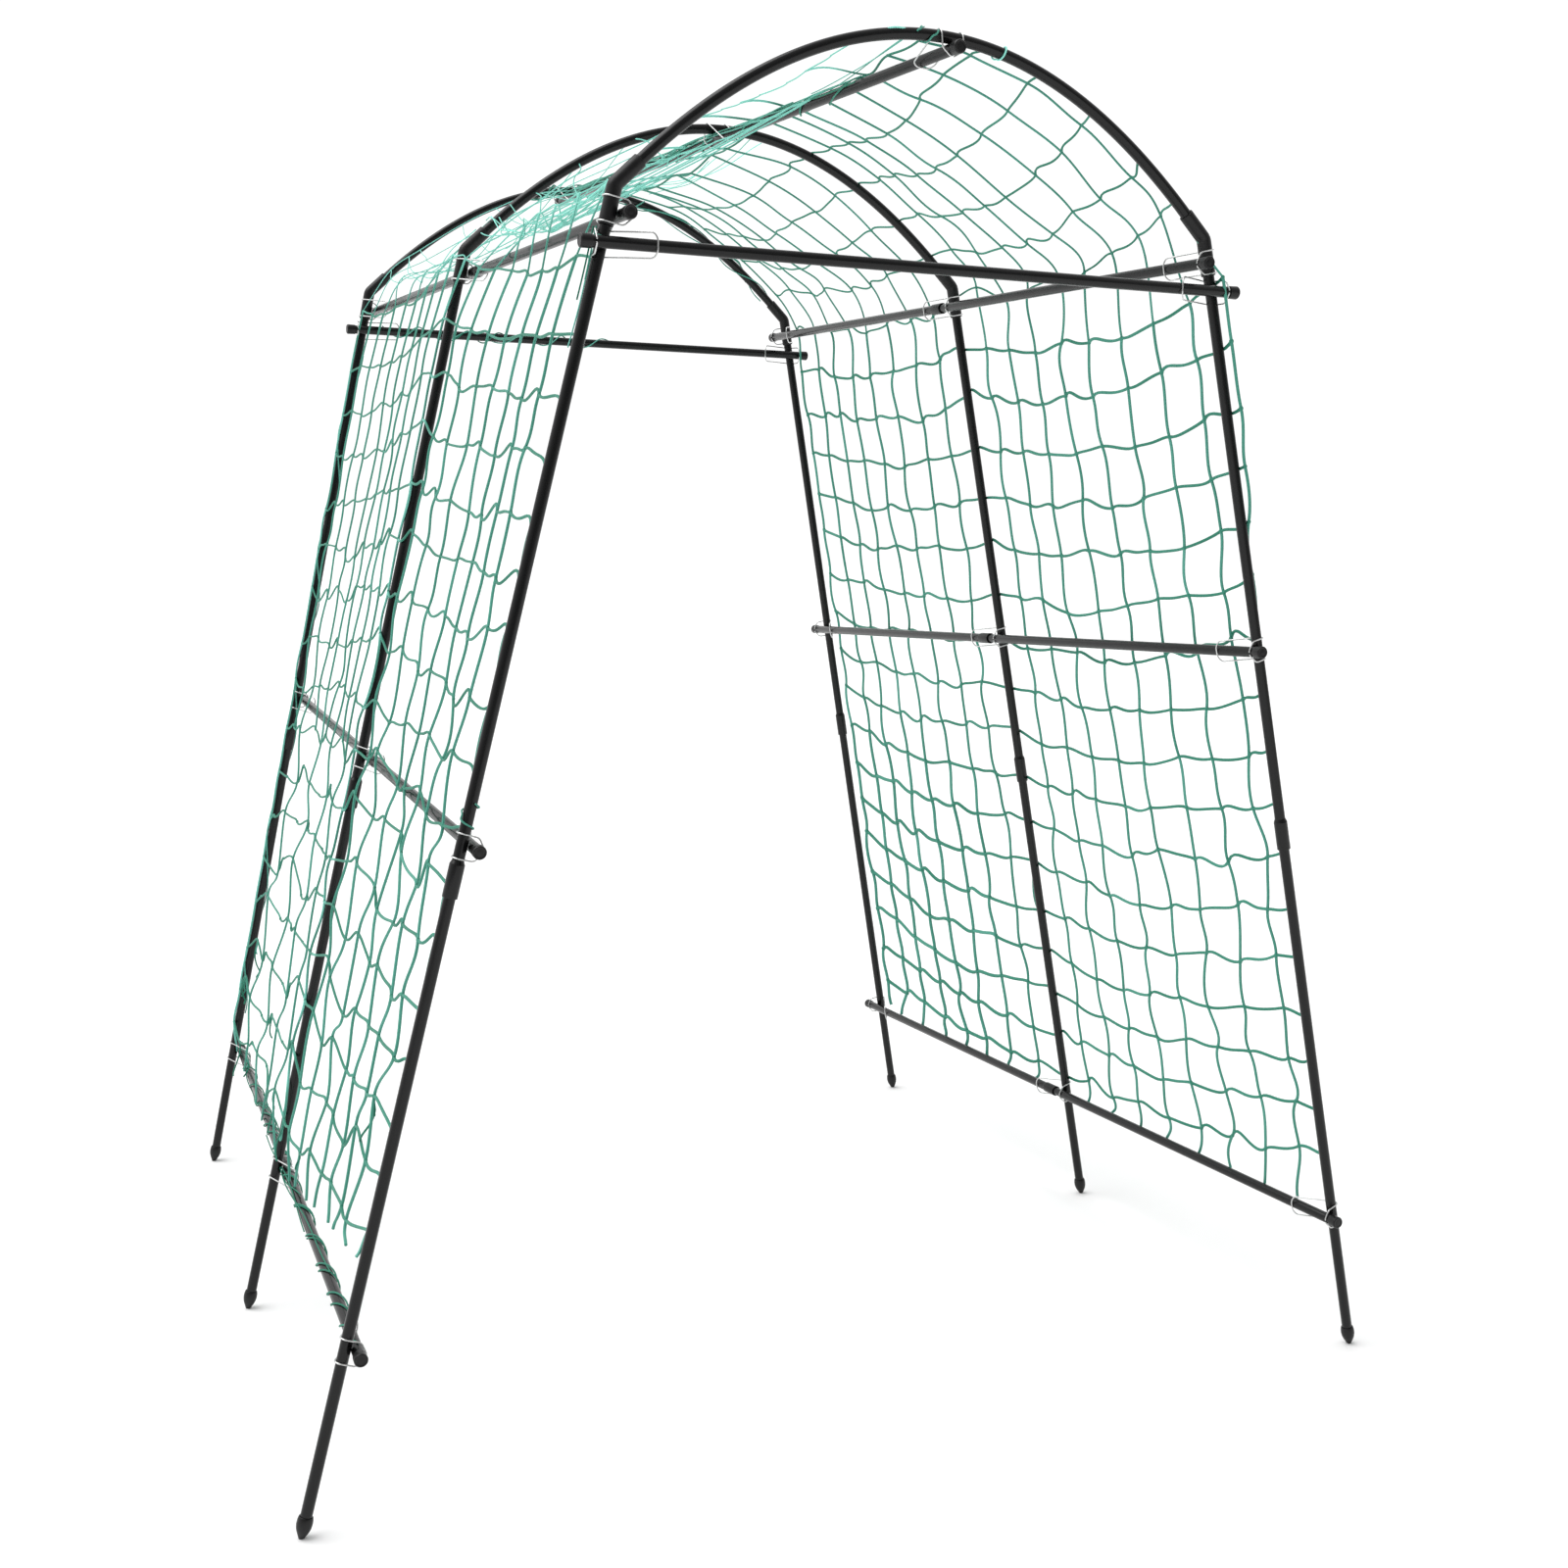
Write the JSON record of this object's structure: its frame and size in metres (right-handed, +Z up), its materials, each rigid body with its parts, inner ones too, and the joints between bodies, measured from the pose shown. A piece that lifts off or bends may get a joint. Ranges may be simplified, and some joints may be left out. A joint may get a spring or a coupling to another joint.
{
  "type": "garden trellis tunnel",
  "caption": "Walk-through arched garden trellis: push-fit tube hoops on splayed legs, clipped rails and crossbars, and a square-mesh net for climbing plants.",
  "frame": {"origin": "on the ground, midway between the feet and midway along the tunnel; z = 0 is the level the six points stand on", "axes": "+X across the walkway to the right as seen from the front, +Y along the walkway from the front hoop to the rear one, +Z up"},
  "size_m": [1.697, 1.5686, 1.9607],
  "materials": {
    "coated_tube": "steel tube in a satin charcoal-black plastic coat",
    "moulded_plastic": "satin black moulding",
    "spring_wire": "bright plated wire",
    "net_twine": "thin knotted green twine"
  },
  "bodies": {
    "root": {"front_arch": "coated_tube", "front_left_lower_leg": "coated_tube", "front_left_upper_leg": "coated_tube", "front_left_elbow": "moulded_plastic", "front_right_lower_leg": "coated_tube", "front_right_upper_leg": "coated_tube", "front_right_elbow": "moulded_plastic", "middle_arch": "coated_tube", "middle_left_lower_leg": "coated_tube", "middle_left_upper_leg": "coated_tube", "middle_left_elbow": "moulded_plastic", "middle_right_lower_leg": "coated_tube", "middle_right_upper_leg": "coated_tube", "middle_right_elbow": "moulded_plastic", "rear_arch": "coated_tube", "rear_left_lower_leg": "coated_tube", "rear_left_upper_leg": "coated_tube", "rear_left_elbow": "moulded_plastic", "rear_right_lower_leg": "coated_tube", "rear_right_upper_leg": "coated_tube", "rear_right_elbow": "moulded_plastic", "left_eave_rail": "coated_tube", "left_eave_rail_front_clip": "spring_wire", "left_eave_rail_middle_clip": "spring_wire", "left_eave_rail_rear_clip": "spring_wire", "right_eave_rail": "coated_tube", "right_eave_rail_front_clip": "spring_wire", "right_eave_rail_middle_clip": "spring_wire", "right_eave_rail_rear_clip": "spring_wire", "left_mid_rail": "coated_tube", "left_mid_rail_front_clip": "spring_wire", "left_mid_rail_middle_clip": "spring_wire", "left_mid_rail_rear_clip": "spring_wire", "right_mid_rail": "coated_tube", "right_mid_rail_front_clip": "spring_wire", "right_mid_rail_middle_clip": "spring_wire", "right_mid_rail_rear_clip": "spring_wire", "left_low_rail": "coated_tube", "left_low_rail_front_clip": "spring_wire", "left_low_rail_middle_clip": "spring_wire", "left_low_rail_rear_clip": "spring_wire", "right_low_rail": "coated_tube", "right_low_rail_front_clip": "spring_wire", "right_low_rail_middle_clip": "spring_wire", "right_low_rail_rear_clip": "spring_wire", "ridge_rail": "coated_tube", "ridge_rail_front_clip": "spring_wire", "ridge_rail_middle_clip": "spring_wire", "ridge_rail_rear_clip": "spring_wire", "front_crossbar": "coated_tube", "front_crossbar_left_clip": "spring_wire", "front_crossbar_right_clip": "spring_wire", "rear_crossbar": "coated_tube", "rear_crossbar_left_clip": "spring_wire", "rear_crossbar_right_clip": "spring_wire", "net_left_wall": "net_twine", "net_right_wall": "net_twine", "net_left_roof": "net_twine", "net_right_roof": "net_twine"}
  },
  "joints": []
}
